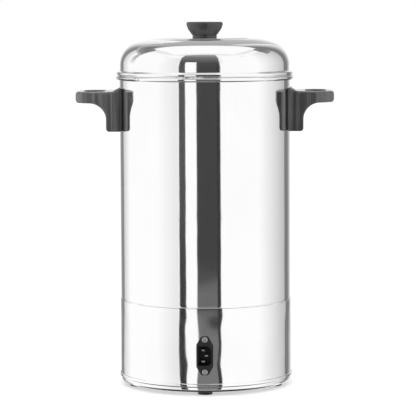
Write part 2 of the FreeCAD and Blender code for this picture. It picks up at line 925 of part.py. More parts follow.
def lamp_lens():
    start = Vector(0, skirt_r - lamp_depth + lamp_wall, switch_z)
    length = lamp_depth - lamp_wall + lamp_bezel + lens_proud
    lens = rod(lamp_r - fit, start, ax_y, length)
    tip = [e for e in lens.Edges if e.BoundBox.YMin > start.y + length - 0.01]
    return lens.makeFillet(lens_proud - lens_band, tip)


# Handles, made on the +X side

def handle_screw_levels():
    top = loop_top_z - handle_screw_drop
    return [top, top - handle_screw_pitch]


def handle_plan_prism():
    """The outline seen from above: a narrow root that flares into the wide rounded loop."""
    right = [(root_x0, root_half_width), (tank_r + waist_reach, root_half_width, waist_r),
             (tank_r + flare_reach, loop_half_width, flare_r), (loop_x, loop_half_width, loop_corner_r)]
    left = [(p[0], -p[1]) + tuple(p[2:]) for p in reversed(right)]
    shape = plate(right + left, in_xy, ax_z * (root_top_z - bracket_z))
    shape.translate(ax_z * bracket_z)
    return shape


def handle_front_prism():
    """The outline seen along Y: the raised root, the loop bar and the bracket under it."""
    bracket_x = tank_r + bracket_reach
    root_x = tank_r + root_reach
    side = [(root_x0, bracket_z), (bracket_x, bracket_z, bracket_corner_r),
            (bracket_x, loop_low_z, bracket_blend_r), (loop_x, loop_low_z, handle_edge_r),
            (loop_x, loop_top_z, handle_edge_r), (root_x + top_blend, loop_top_z, top_blend),
            (root_x, root_top_z, root_top_r), (root_x0, root_top_z)]
    shape = plate(side, in_xz, ax_y * (2 * (loop_half_width + past)))
    shape.translate(-ax_y * (loop_half_width + past))
    return shape


def handle_hole():
    x0, x1 = hole_x0, hole_x1
    w = hole_half_width
    r = hole_corner_r
    return plate([(x0, -w, r), (x1, -w, r), (x1, w, r), (x0, w, r)], in_xy, ax_z * big)


def on_loop_top(edge):
    """Whether an edge runs round the top of the loop, clear of its already rounded outer end."""
    box = edge.BoundBox
    straight_across = box.XMax - box.XMin < 0.01 and box.XMin < loop_x - handle_edge_r - past
    return box.ZMin > loop_top_z - 0.01 and box.XMin > tank_r + root_reach + root_top_r and not straight_across


def handle_grip():
    blank = whole(handle_plan_prism().common(handle_front_prism()))
    blank = blank.makeFillet(handle_top_edge_r, [e for e in blank.Edges if on_loop_top(e)])
    blank = blank.cut(handle_hole())
    height = root_top_z - bracket_z + 2 * past
    pad = rod(tank_r + saddle_pad + fit, Vector(0, 0, bracket_z - past), ax_z, height)
    blank = blank.cut(pad)
    for z in handle_screw_levels():
        start = Vector(tank_r, 0, z)
        depth = saddle_pad + insert_length + insert_spare
        blank = blank.cut(rod(insert_r + fit, start, ax_x, depth))
    return blank


def handle_saddle():
    """The thin pad between the grip and the tank, set in a little from the grip's outline."""
    half = root_half_width - saddle_inset
    low = bracket_z + saddle_inset
    top = root_top_z - saddle_inset
    outline_block = rounded_block(0, loop_x, -half, half, low, top, saddle_corner_r, ax_x)
    shape = outline_block.common(ring(tank_r + saddle_pad, tank_r + fit, low - past, top + past))
    for z in handle_screw_levels():
        shape = shape.cut(rod(handle_screw_r + slip, Vector(0, 0, z), ax_x, big))
    return shape


def handle_screw(z):
    head_x = tank_inner_r - handle_seal
    head = rod(handle_screw_head_r, Vector(head_x - handle_screw_head, 0, z), ax_x, handle_screw_head)
    rim = [e for e in head.Edges if e.BoundBox.XMax < head_x - handle_screw_head + 0.01]
    head = head.makeFillet(handle_screw_head * 0.5, rim)
    shank = rod(handle_screw_r, Vector(head_x, 0, z), ax_x, tank_r + handle_screw_depth - head_x)
    return head.fuse(shank)


def handle_seal_piece(z):
    start = Vector(tank_inner_r - handle_seal, 0, z)
    seal = pipe_along(handle_seal_r, handle_screw_r + fit, start, ax_x, handle_seal + past)
    bore = rod(tank_inner_r - fit, Vector(0, 0, z - 2 * handle_seal_r), ax_z, 4 * handle_seal_r)
    return seal.common(bore)


def handle_insert(z):
    start = Vector(tank_r + saddle_pad + insert_inset, 0, z)
    return pipe_along(insert_r, handle_screw_r + fit, start, ax_x, insert_length)


# Lid and knob

def lid_shell():
    plug_r = tank_inner_r - plug_gap
    brim_r = lid_r + brim_reach + lid_inset
    brim_top = lid_seat_z + brim_height
    drop = (lid_r - lid_slope_start_r) * math.tan(math.radians(lid_slope))
    line = [(0, lid_disc_z), (lid_disc_r, lid_disc_z, lid_edge_r),
            (lid_disc_r + lid_disc_slope, lid_top_z, lid_edge_r),
            (lid_slope_start_r, lid_top_z, lid_crown_r), (lid_r, lid_top_z - drop, lid_shoulder_r),
            (lid_r, brim_top + brim_inset, lid_fold_r), (brim_r, brim_top, brim_corner_r),
            (brim_r, lid_seat_z, brim_corner_r), (plug_r, lid_seat_z, lid_fold_r),
            (plug_r, lid_seat_z - plug_depth)]
    shell = drawn(line, -sheet)
    return shell.cut(rod(knob_screw_r + slip, Vector(0, 0, lid_seat_z), ax_z, big))


def knob_collar():
    return turned([(knob_screw_r + slip, lid_disc_z), (collar_r, lid_disc_z, collar_edge_r),
                   (collar_r, collar_top_z, collar_edge_r), (knob_screw_r + slip, collar_top_z)])


def lid_knob():
    top = collar_top_z + knob_height
    waist_z = collar_top_z + knob_waist_height
    depth = knob_screw_grip + past
    return turned([(knob_screw_r + fit, collar_top_z), (knob_foot_r, collar_top_z, knob_foot_edge_r),
                   (knob_waist_r, waist_z, knob_waist_blend_r),
                   (knob_r, top - knob_edge_r - knob_brow, knob_brow_r),
                   (knob_r, top, knob_edge_r), (knob_dish_r, top, knob_dish_edge_r), (0, top - knob_dish),
                   (0, collar_top_z + depth), (knob_screw_r + fit, collar_top_z + depth)])


def knob_screw():
    under = lid_disc_z - sheet - knob_washer
    head = rod(knob_screw_head_r, Vector(0, 0, under - knob_screw_head), ax_z, knob_screw_head)
    rim = [e for e in head.Edges if e.BoundBox.ZMax < under - knob_screw_head + 0.01]
    head = head.makeFillet(knob_screw_head * 0.5, rim)
    shank = rod(knob_screw_r, Vector(0, 0, under), ax_z, collar_top_z + knob_screw_grip - under)
    return head.fuse(shank)


def knob_washer_piece():
    under = lid_disc_z - sheet
    return ring(knob_washer_r, knob_screw_r + slip, under - knob_washer, under)


# Percolator

def pump_levels():
    """Underside of the bell, top of the bell, top of its neck."""
    low = well_z + pump_foot_gap
    return low, low + pump_foot_height, low + pump_foot_height + pump_neck_height


def pump_tube():
    low, top, neck = pump_levels()
    high = lid_disc_z - tube_top_gap
    return ring(tube_r, tube_r - tube_wall, top, high)


def pump_foot():
    """A bell that traps steam in the well; the tube is gripped in its neck."""
    low, top, neck = pump_levels()
    t = pump_foot_sheet
    line = [(pump_foot_r, low), (pump_foot_r, top, pump_foot_edge_r), (tube_r + t + fit, top, pump_neck_edge_r),
            (tube_r + t + fit, neck)]
    bell = drawn(line, t)
    hole_z = low + pump_foot_hole_r + pump_foot_hole_rise
    hole = rod(pump_foot_hole_r, Vector(0, 0, hole_z), ax_x, 2 * pump_foot_r)
    return bell.cut(Part.makeCompound(round_about(hole, pump_foot_hole_count)))


def pump_valve():
    """A loose washer that rides on the tube above the bell's neck."""
    low, top, neck = pump_levels()
    base = neck + rest_gap
    return ring(valve_r, tube_r + run_fit, base, base + valve_sheet)


def pump_stop():
    low, top, neck = pump_levels()
    base = neck + valve_sheet + valve_travel + 2 * rest_gap
    return ring(stop_r, tube_r + fit, base, base + stop_height)


def tube_collar():
    """The ring on the tube that carries the basket."""
    base = basket_z - rest_gap - collar_on_tube_height
    return ring(collar_on_tube_r, tube_r + fit, base, base + collar_on_tube_height)


def basket():
    hub = tube_r + run_fit
    t = basket_sheet
    top = basket_z + basket_depth
    line = [(hub, basket_z + basket_hub_height), (hub, basket_z, basket_hub_edge_r),
            (basket_r, basket_z, basket_corner_r), (basket_r, top, basket_lip_r), (basket_r + basket_lip, top)]
    cup = drawn(line, t)
    holes = []
    for i in range(basket_hole_rings):
        radius = basket_first_ring_r + i * basket_hole_ring_step
        count = int(round(2 * math.pi * radius / basket_hole_ring_step))
        hole = rod(basket_hole_r, Vector(radius, 0, basket_z - past), ax_z, basket_sheet + 2 * past)
        holes += round_about(hole, count, basket_ring_turn * i)
    return cup.cut(Part.makeCompound(holes))


def basket_cover():
    """The spreader that spills the water evenly over the ground coffee."""
    low = basket_z + basket_depth + basket_sheet + cover_gap
    hub = tube_r + run_fit
    line = [(hub, low + cover_rim), (hub, low, cover_hub_edge_r), (basket_r + basket_lip, low, cover_rim_r),
            (basket_r + basket_lip, low + cover_rim)]
    disc = drawn(line, basket_sheet)
    holes = []
    rings = [(cover_inner_ring_r, cover_hole_count // 2, 0.0), (cover_ring_r, cover_hole_count, 0.0),
             (cover_outer_ring_r, cover_hole_count, cover_ring_turn)]
    for radius, count, turn in rings:
        hole = rod(cover_hole_r, Vector(radius, 0, low - past), ax_z, basket_sheet + 2 * past)
        holes += round_about(hole, count, turn)
    return disc.cut(Part.makeCompound(holes))


# Tap, on the -Y side

def tap_washer_outer():
    start = Vector(0, -tank_r + tap_flange_r / 2, tap_z)
    disc = pipe_along(tap_flange_r, shank_r + slip, start, -ax_y, tap_washer + tap_flange_r / 2)
    return disc.cut(rod(tank_r + fit, Vector(0, 0, tap_z - 2 * tap_flange_r), ax_z, 4 * tap_flange_r))


def tap_washer_inner():
    start = Vector(0, -(tank_inner_r - tap_washer_inner_sheet), tap_z)
    disc = pipe_along(tap_flange_r, shank_r + slip, start, -ax_y, 2 * tap_washer_inner_sheet)
    return disc.common(rod(tank_inner_r - fit, Vector(0, 0, tap_z - 2 * tap_flange_r), ax_z, 4 * tap_flange_r))


def tap_nut():
    corner_r = tap_nut_flats / math.sqrt(3)
    face = tank_inner_r - tap_washer_inner_sheet
    nut = hexagon(corner_r, Vector(0, -face, tap_z), ax_y, tap_nut_height)
    return nut.cut(rod(shank_r + fit, Vector(0, -face - past, tap_z), ax_y, tap_nut_height + 2 * past))


def tap_body():
    flange_y = -(tank_r + tap_washer)
    inner_y = -(tank_inner_r - shank_inside)
    shank = rod(shank_r, Vector(0, inner_y, tap_z), -ax_y, inner_y - flange_y + past)
    flange = rod(tap_flange_r, Vector(0, flange_y, tap_z), -ax_y, tap_flange)
    barrel = rod(barrel_r, Vector(0, flange_y, tap_z), -ax_y, flange_y - chamber_y)
    at_chamber = Vector(0, chamber_y, 0)
    chamber = moved(rod(chamber_r, Vector(0, 0, tap_z - chamber_drop), ax_z, chamber_rise + chamber_drop),
                    at_chamber)
    chamber_low = tap_z - chamber_drop
    spout_low = tap_z - spout_drop
    spout = turned([(0, chamber_low + past), (0, spout_low), (spout_r, spout_low, spout_edge_r),
                    (spout_r, chamber_low - spout_shoulder, spout_shoulder_r), (chamber_r, chamber_low),
                    (chamber_r, chamber_low + past)])
    spout = moved(spout, at_chamber)
    tee = rod(tee_r, Vector(0, gauge_y, tap_z), ax_z, tee_rise)
    solid = shank.multiFuse([flange, barrel, chamber, spout, tee])
    room_r = chamber_r - chamber_wall
    room = moved(rod(room_r, Vector(0, 0, seat_z), ax_z, big), at_chamber)
    outlet = moved(rod(spout_bore_r, origin, ax_z, seat_z + past), at_chamber)
    bore = rod(shank_bore_r, Vector(0, inner_y + past, tap_z), -ax_y, inner_y + past - chamber_y)
    glass_bore = rod(glass_r - glass_wall, Vector(0, gauge_y, tap_z), ax_z, big)
    glass_socket = rod(glass_r + glass_socket_gap, Vector(0, gauge_y, glass_seat_z), ax_z, big)
    seal_room = rod(seal_r, Vector(0, gauge_y, tee_top_z - seal_height), ax_z, big)
    hollow = solid.cut(Part.makeCompound([room, outlet])).cut(bore)
    return hollow.cut(glass_bore).cut(glass_socket).cut(seal_room)


def tap_bonnet():
    inner = chamber_r + slip
    outer = inner + bonnet_wall
    cap = turned([(stem_r + slip, chamber_top_z), (inner, chamber_top_z), (inner, chamber_top_z - bonnet_skirt),
                  (outer, chamber_top_z - bonnet_skirt, bonnet_edge_r), (outer, bonnet_z, bonnet_edge_r),
                  (stem_r + slip, bonnet_z)])
    return moved(cap, Vector(0, chamber_y, 0))


def stem_levels():
    """Underside of the seat disc, underside and top of the collar."""
    low = seat_z + seat_gap
    return low, low + seat_disc, low + seat_disc + stem_collar


def tap_stem():
    low, under, top = stem_levels()
    high = pin_z + stem_over_pin
    at = Vector(0, chamber_y, 0)
    shaft = rod(stem_r, Vector(0, 0, under), ax_z, high - under)
    collar = rod(stem_collar_r, Vector(0, 0, under), ax_z, stem_collar)
    piece = moved(shaft.fuse(collar), at)
    return piece.cut(rod(lever_pin_r + fit, Vector(-lever_width, chamber_y, pin_z), ax_x, 2 * lever_width))


def tap_seat():
    low, under, top = stem_levels()
    return moved(rod(seat_disc_r, Vector(0, 0, low), ax_z, seat_disc), Vector(0, chamber_y, 0))


def tap_spring():
    low, under, top = stem_levels()
    return moved(ring(spring_r, spring_inner_r, top, chamber_top_z), Vector(0, chamber_y, 0))


def tap_lever():
    """An upright paddle; its round heel is off-centre to the pin and lifts the stem as it turns."""
    half = lever_width / 2
    angle = math.radians(cam_rest_angle)
    cam_y = chamber_y + cam_throw * math.cos(angle)
    cam_z = pin_z + cam_throw * math.sin(angle)
    heel = rod(cam_r, Vector(-half, cam_y, cam_z), ax_x, lever_width)
    lean = math.radians(lever_lean)
    along = Vector(0, -math.sin(lean), math.cos(lean))
    across = Vector(0, math.cos(lean), math.sin(lean))
    foot_at = Vector(0, cam_y, cam_z)
    tip = foot_at + along * lever_length
    t = lever_sheet / 2
    root = cam_r * lever_root_share
    corners = [foot_at + across * root, tip + across * t, tip - across * t, foot_at - across * root]
    side = [(c.y, c.z) for c in corners]
    side[1] = side[1] + (lever_end_r,)
    side[2] = side[2] + (lever_end_r,)
    arm = plate(side, in_yz, ax_x * lever_width)
    arm.translate(-ax_x * half)
    lever = heel.fuse(arm).removeSplitter()
    slot_top = pin_z + stem_over_pin + lever_slot_spare
    slot = block(-lever_slot / 2, lever_slot / 2, chamber_y - 3 * cam_r, chamber_y + 3 * cam_r, 0, slot_top)
    round_top = rod(slot_top - pin_z, Vector(-lever_slot / 2, chamber_y, pin_z), ax_x, lever_slot)
    lever = lever.cut(slot.fuse(round_top))
    return lever.cut(rod(lever_pin_r + fit, Vector(-lever_width, chamber_y, pin_z), ax_x, 2 * lever_width))


def tap_lever_pin():
    return rod(lever_pin_r, Vector(-lever_width / 2, chamber_y, pin_z), ax_x, lever_width)


# Sight gauge

def gauge_screw_z():
    return glass_top_z - cap_overlap + cap_height / 2


def gauge_glass():
    pipe = ring(glass_r, glass_r - glass_wall, glass_seat_z + glass_gap, glass_top_z)
    return moved(pipe, Vector(0, gauge_y, 0))


def gauge_seal():
    seal = ring(seal_r - fit, glass_r + fit, tee_top_z - seal_height + fit, tee_top_z)
    return moved(seal, Vector(0, gauge_y, 0))


def shield_section(spare, z0, z1):
    half_w = shield_width / 2 + spare
    half_d = shield_depth / 2 + spare
    radius = shield_corner_r + spare
    return rounded_block(-half_w, half_w, gauge_y - half_d, gauge_y + half_d, z0, z1, radius, ax_z)


def gauge_shield():
    low = tee_top_z + glass_gap
    top = glass_top_z - cap_overlap + cap_wall
    shell = shield_section(0, low, top).cut(shield_section(-shield_sheet, low - past, top + past))
    half = shield_slot / 2
    slot = block(-half, half, gauge_y - shield_depth, gauge_y,
                 low + shield_slot_margin, top - shield_slot_margin)
    floor = shield_section(-shield_sheet, low, low + shield_sheet)
    floor = floor.cut(rod(glass_r + run_fit, Vector(0, gauge_y, low - past), ax_z, shield_sheet + 2 * past))
    return shell.cut(slot).fuse(floor)


def gauge_top_cap():
    low = glass_top_z - cap_overlap
    top = low + cap_height
    half_w = shield_width / 2 + cap_wall
    outer = shield_section(cap_wall, low, top)
    lid_edges = [e for e in outer.Edges if e.BoundBox.ZMin > top - 0.01]
    outer = outer.makeFillet(cap_edge_r, lid_edges)
    boss_start = Vector(0, gauge_y + shield_depth / 2, gauge_screw_z())
    boss = rod(cap_boss_r, boss_start, ax_y, -tank_r - boss_start.y + cap_boss_r)
    boss = boss.cut(rod(tank_r + fit, Vector(0, 0, low - cap_height), ax_z, 3 * cap_height))
    room = shield_section(slip, low - past, low + cap_wall)
    glass_room = rod(glass_r + run_fit, Vector(0, gauge_y, low - past), ax_z, cap_overlap + glass_cap_gap)
    vent = rod(cap_vent_r, Vector(0, gauge_y - half_w, glass_top_z + glass_gap), ax_y, half_w)
    hole = rod(cap_screw_r + fit, Vector(0, -tank_inner_r, gauge_screw_z()), -ax_y, cap_screw_grip + 2 * past)
    return outer.fuse(boss).cut(room).cut(glass_room).cut(vent).cut(hole)


def gauge_cap_screw():
    head_y = -(tank_inner_r - cap_screw_gap)
    start = Vector(0, head_y + cap_screw_head, gauge_screw_z())
    head = rod(cap_screw_head_r, start, -ax_y, cap_screw_head)
    shank = rod(cap_screw_r, Vector(0, head_y, gauge_screw_z()), -ax_y, tank_r + cap_screw_grip + head_y)
    return head.fuse(shank)


# Wiring inside the base

def terminal_block():
    y = skirt_r - block_from_inlet
    low = pan_z + pan_sheet
    return rounded_block(-block_x / 2, block_x / 2, y - block_y / 2, y + block_y / 2, low, low + block_z,
                         block_corner_r, ax_z)


def wire(points):
    """An insulated wire: straight runs joined by arcs, with its ends against what it joins."""
    knots = [Vector(*p) for p in points]
    edges = []
    last = knots[0]
    for i in range(1, len(knots) - 1):
        corner = knots[i]
        back = knots[i - 1] - corner
        ahead = knots[i + 1] - corner
        room = 0.45 * min(back.Length, ahead.Length)
        half = back.getAngle(ahead) / 2
        run = min(room, wire_bend_r / math.tan(half))
        radius = run * math.tan(half)
        back.normalize()
        ahead.normalize()
        start = corner + back * run
        end = corner + ahead * run
        middle = corner + (back + ahead).normalize() * (radius / math.sin(half) - radius)
        edges.append(Part.LineSegment(last, start).toShape())
        edges.append(Part.Arc(start, middle, end).toShape())
        last = end
    edges.append(Part.LineSegment(last, knots[-1]).toShape())
    path = Part.Wire(edges)
    direction = (knots[1] - knots[0]).normalize()
    section = Part.Wire([Part.Circle(knots[0], direction, wire_r).toShape()])
    return path.makePipeShell([section], True, False)


def wiring():
    tab_y = skirt_r + inlet_flange - socket_depth - inlet_back - tab_reach
    block_y1 = skirt_r - block_from_inlet + block_y / 2
    block_y0 = block_y1 - block_y
    mid_z = pan_z + pan_sheet + block_z / 2
    runs = []
    for i, (x, z) in enumerate(pin_places()):
        terminal_x = (i - 1) * block_x / 3
        runs.append(wire([(x, tab_y, z), (x, tab_y - wire_tab_run, z),
                          (terminal_x, block_y1 + wire_block_run, mid_z), (terminal_x, block_y1, mid_z)]))
    leg_x, leg_y, leg_top = element_leg_place()
    leg_z = leg_top - element_leg
    runs.append(wire([(leg_x, leg_y, leg_z), (leg_x, leg_y, leg_z - wire_leg_run),
                      (-block_x / 3, block_y0 - wire_sweep, mid_z), (-block_x / 3, block_y0, mid_z)]))
    switch_y = -(skirt_r + switch_bezel - switch_depth)
    runs.append(wire([(0, switch_y, switch_z), (0, switch_y + wire_switch_run, switch_z),
                      (block_x / 3, block_y0 - wire_long_sweep, mid_z), (block_x / 3, block_y0, mid_z)]))
    beside = -wire_switch_pitch
    runs.append(wire([(leg_x, -leg_y, leg_z), (leg_x, -leg_y, leg_z - wire_back_leg_run),
                      (beside, switch_y + wire_switch_sweep, switch_z), (beside, switch_y, switch_z)]))
    return runs


def write(name, shape):
    solids = shape.Solids
    for solid in solids:
        if not solid.isValid() or solid.Volume <= 0:
            raise ValueError("%s is not a sound solid" % name)
    shape.exportStep("parts/%s.step" % name)
    print("%-22s %2d solids %10.1f mm3" % (name, len(solids), shape.Volume))


def mirrored(shape):
    return shape.mirror(origin, ax_x)


def main():
    os.makedirs("parts", exist_ok=True)
    write("base_pan", whole(base_pan()))
    write("feet", group(at_foot(foot())))
    write("foot_screws", group(at_foot(foot_screw())))
    write("foot_nuts", group(at_foot(foot_nut_piece())))
    write("base_skirt", whole(base_skirt()))
    write("tank_wall", whole(tank_wall()))
    write("tank_floor", whole(tank_floor()))
    write("spreader_plate", whole(spreader_plate()))
    write("heating_element", whole(heating_element()))
    write("element_clamp", whole(element_clamp()))
    write("clamp_nuts", group(clamp_nuts()))
    write("thermostat", whole(sensor(sensor_height)))
    write("thermal_cutout", whole(spun(sensor(cutout_height), 180)))
    write("floor_posts", group(at_tie(post())))
    write("tie_screws", group(at_tie(tie_screw())))
    write("inlet_housing", whole(inlet_housing()))
    write("inlet_pins", group([inlet_pin(x, z) for x, z in pin_places()]))
    write("inlet_screws", group([inlet_screw(side) for side in (-1, 1)]))
    write("inlet_nuts", group([inlet_nut_piece(side) for side in (-1, 1)]))
    write("switch_housing", whole(to_front(switch_housing())))
    write("switch_rocker", whole(to_front(rocker())))
    write("lamp_holders", group([to_front(lamp_holder(), a) for a in (-lamp_angle, lamp_angle)]))
    write("power_lamp", whole(to_front(lamp_lens(), -lamp_angle)))
    write("ready_lamp", whole(to_front(lamp_lens(), lamp_angle)))
    write("terminal_block", whole(terminal_block()))
    write("wiring", group(wiring()))
    levels = handle_screw_levels()
    grip = whole(handle_grip())
    saddle = whole(handle_saddle())
    screws = group([handle_screw(z) for z in levels])
    seals = group([handle_seal_piece(z) for z in levels])
    inserts = group([handle_insert(z) for z in levels])
    write("right_grip", grip)
    write("left_grip", mirrored(grip))
    write("right_saddle", saddle)
    write("left_saddle", mirrored(saddle))
    write("handle_screws", Part.makeCompound(screws.Solids + mirrored(screws).Solids))
    write("handle_seals", Part.makeCompound(seals.Solids + mirrored(seals).Solids))
    write("handle_inserts", Part.makeCompound(inserts.Solids + mirrored(inserts).Solids))
    write("lid_shell", whole(lid_shell()))
    write("lid_knob", whole(lid_knob()))
    write("knob_collar", whole(knob_collar()))
    write("knob_screw", whole(knob_screw()))
    write("knob_washer", whole(knob_washer_piece()))
    write("pump_tube", whole(pump_tube()))
    write("pump_foot", whole(pump_foot()))
    write("pump_valve", whole(pump_valve()))
    write("pump_stop", whole(pump_stop()))
    write("tube_collar", whole(tube_collar()))
    write("basket", whole(basket()))
    write("basket_cover", whole(basket_cover()))
    write("tap_body", whole(tap_body()))
    write("tap_washer_outer", whole(tap_washer_outer()))
    write("tap_washer_inner", whole(tap_washer_inner()))
    write("tap_nut", whole(tap_nut()))
    write("tap_bonnet", whole(tap_bonnet()))
    write("tap_stem", whole(tap_stem()))
    write("tap_seat", whole(tap_seat()))
    write("tap_spring", whole(tap_spring()))
    write("tap_lever", whole(tap_lever()))
    write("tap_lever_pin", whole(tap_lever_pin()))
    write("gauge_glass", whole(gauge_glass()))
    write("gauge_seal", whole(gauge_seal()))
    write("gauge_shield", whole(gauge_shield()))
    write("gauge_top_cap", whole(gauge_top_cap()))
    write("gauge_cap_screw", whole(gauge_cap_screw()))


main()
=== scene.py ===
# %% [markdown]
# # A coffee urn, seen from behind
# The urn is a tall can of polished stainless sheet with a domed lid, two black moulded handles and
# a black knob. Its metal has almost no colour of its own: what the eye sees is the room, mirrored.
# So this lesson spends as much care on what surrounds the urn as on the urn itself.

# %% Load the frame
import bpy
import json
import math
from mathutils import Matrix, Vector

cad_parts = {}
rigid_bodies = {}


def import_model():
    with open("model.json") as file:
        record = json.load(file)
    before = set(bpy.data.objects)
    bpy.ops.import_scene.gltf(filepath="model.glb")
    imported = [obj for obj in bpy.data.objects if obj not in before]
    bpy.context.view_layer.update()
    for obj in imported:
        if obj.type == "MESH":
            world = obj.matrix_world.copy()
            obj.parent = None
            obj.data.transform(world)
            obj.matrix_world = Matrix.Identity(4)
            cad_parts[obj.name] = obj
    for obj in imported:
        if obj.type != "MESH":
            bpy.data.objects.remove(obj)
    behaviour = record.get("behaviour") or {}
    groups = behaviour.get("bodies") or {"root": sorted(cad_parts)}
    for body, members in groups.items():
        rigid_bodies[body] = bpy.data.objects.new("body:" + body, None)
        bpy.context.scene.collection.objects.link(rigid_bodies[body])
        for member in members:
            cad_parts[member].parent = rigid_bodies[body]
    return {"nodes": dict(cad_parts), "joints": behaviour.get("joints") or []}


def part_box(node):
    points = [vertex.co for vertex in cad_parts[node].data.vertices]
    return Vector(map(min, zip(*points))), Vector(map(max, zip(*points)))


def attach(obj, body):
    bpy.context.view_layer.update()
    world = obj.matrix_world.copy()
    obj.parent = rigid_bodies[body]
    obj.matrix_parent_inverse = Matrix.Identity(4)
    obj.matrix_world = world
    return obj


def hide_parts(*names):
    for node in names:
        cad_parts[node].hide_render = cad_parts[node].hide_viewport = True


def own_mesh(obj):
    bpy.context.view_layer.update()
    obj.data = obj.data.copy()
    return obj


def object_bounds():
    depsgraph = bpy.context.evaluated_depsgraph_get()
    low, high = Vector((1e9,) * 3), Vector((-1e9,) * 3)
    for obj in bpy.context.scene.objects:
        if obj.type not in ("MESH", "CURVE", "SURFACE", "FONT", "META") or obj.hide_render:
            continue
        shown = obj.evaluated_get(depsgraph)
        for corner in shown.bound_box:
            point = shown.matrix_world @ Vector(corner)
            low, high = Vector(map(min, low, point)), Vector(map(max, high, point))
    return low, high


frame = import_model()
cad_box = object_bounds()

# %% [markdown]
# ## Sizes read from the frame
# Every place below is worked out from the boxes of the urn's own parts, so that nothing has to be
# fitted afterwards. All lengths are metres.

# %% Sizes of the urn
MM = 0.001
table_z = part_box("feet")[0][2]
body_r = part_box("base_skirt")[1][0]
rim_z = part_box("tank_wall")[1][2]
top_z = cad_box[1][2]
print("body radius %.1f mm, overall height %.1f mm" % (body_r / MM, (top_z - table_z) / MM))

# %% [markdown]
# ## The camera
# The photograph was taken from well back with a long lens, a little above the urn's rim, with the
# camera tipped down by about five degrees. A long lens keeps the can's sides almost parallel. The
# Standard view shows each colour about as it is written.

# %% Camera
camera_distance = 2.8823
camera_height = 0.4885
camera_pitch = math.radians(5.261)
camera_yaw = math.radians(0.0642)
camera_roll = 0.0045
camera_turn = math.radians(0.85)
camera_lens = 197.0


def add_camera():
    ahead = Vector((-math.sin(camera_yaw) * math.cos(camera_pitch),
                    -math.cos(camera_yaw) * math.cos(camera_pitch), -math.sin(camera_pitch)))
    side = ahead.cross(Vector((0, 0, 1))).normalized()
    up = side.cross(ahead)
    turn = Matrix.Rotation(-camera_roll, 3, -ahead)
    side = turn @ side
    up = turn @ up
    rotation = Matrix((side, up, -ahead)).transposed()
    data = bpy.data.cameras.new("camera")
    data.lens = camera_lens
    data.sensor_width = 36
    data.clip_end = 50
    camera = bpy.data.objects.new("camera", data)
    place = Matrix.Translation((0, camera_distance, table_z + camera_height))
    camera.matrix_world = Matrix.Rotation(camera_turn, 4, "Z") @ place @ rotation.to_4x4()
    bpy.context.scene.collection.objects.link(camera)
    bpy.context.scene.camera = camera
    return camera


bpy.context.scene.view_settings.view_transform = "Standard"
camera = add_camera()
print("camera looks from", [round(v, 3) for v in camera.location])

# %% [markdown]
# ## Shader sums as plain sentences
# A finish is mostly arithmetic on a few patterns. The small class below wraps one socket, so that
# `0.2 + 0.1 * streaks` adds the Math nodes by itself. One method adds any other node.


# %% A socket that can be added and multiplied
class Value:
    def __init__(self, finish, socket):
        self.finish = finish
        self.socket = socket

    def _math(self, operation, left, right):
        return self.finish.node("Math", {"operation": operation}, [left, right])

    def __add__(self, other):
        return self._math("ADD", self, other)

    __radd__ = __add__

    def __mul__(self, other):
        return self._math("MULTIPLY", self, other)

    __rmul__ = __mul__

    def __sub__(self, other):
        return self._math("SUBTRACT", self, other)

    def __rsub__(self, other):
        return self._math("SUBTRACT", other, self)


class Finish:
    """One material and the few calls that its nodes need."""

    def __init__(self, name):
        self.material = bpy.data.materials.new(name)
        self.material.use_nodes = True
        self.tree = self.material.node_tree
        self.shader = self.tree.nodes["Principled BSDF"]

    def node(self, kind, settings, values, output=0):
        made = self.tree.nodes.new("ShaderNode" + kind)
        for key, setting in settings.items():
            if key == "stops":
                ramp = made.color_ramp
                while len(ramp.elements) < len(setting):
                    ramp.elements.new(0.5)
                for element, (place, shade) in zip(ramp.elements, setting):
                    element.position = place
                    element.color = (shade, shade, shade, 1)
            else:
                setattr(made, key, setting)
        pairs = values.items() if isinstance(values, dict) else enumerate(values)
        for key, value in pairs:
            self.put(made.inputs[key], value)
        return Value(self, made.outputs[output])

    def put(self, socket, value):
        if isinstance(value, Value):
            self.tree.links.new(value.socket, socket)
        elif value is not None:
            socket.default_value = value

    def set(self, **values):
        for key, value in values.items():
            self.put(self.shader.inputs[key.replace("_", " ")], value)
        return self

    def place(self, scale):
        """Object coordinates, stretched; the numbers are repeats for each metre."""
        where = self.node("TexCoord", {}, [], "Object")
        return self.node("Mapping", {}, {"Vector": where, "Scale": scale})

    def noise(self, where, scale, detail=3.0, roughness=0.5):
        return self.node("TexNoise", {}, {"Vector": where, "Scale": scale, "Detail": detail,
                                          "Roughness": roughness})

    def ramp(self, value, stops):
        return self.node("ValToRGB", {"stops": stops}, [value])

    def mix(self, factor, first, second):
        return self.node("Mix", {"data_type": "RGBA"}, {"Factor": factor, 6: first, 7: second}, 2)

    def bump(self, height, distance):
        return self.node("Bump", {}, {"Height": height, "Distance": distance, "Strength": 1.0})


print("socket helper ready")

# %% [markdown]
# ## The studio
# The metal mirrors the room, so the room is built to be mirrored: a white tent, two dark upright
# flags beside the camera that draw the two dark stripes down the body, a grey ceiling and a soft
# box in it. Only glossy rays see the flags: they throw no shadow and no light. The tent is plain
# white to the camera and to the metal, and a little lower as a light.

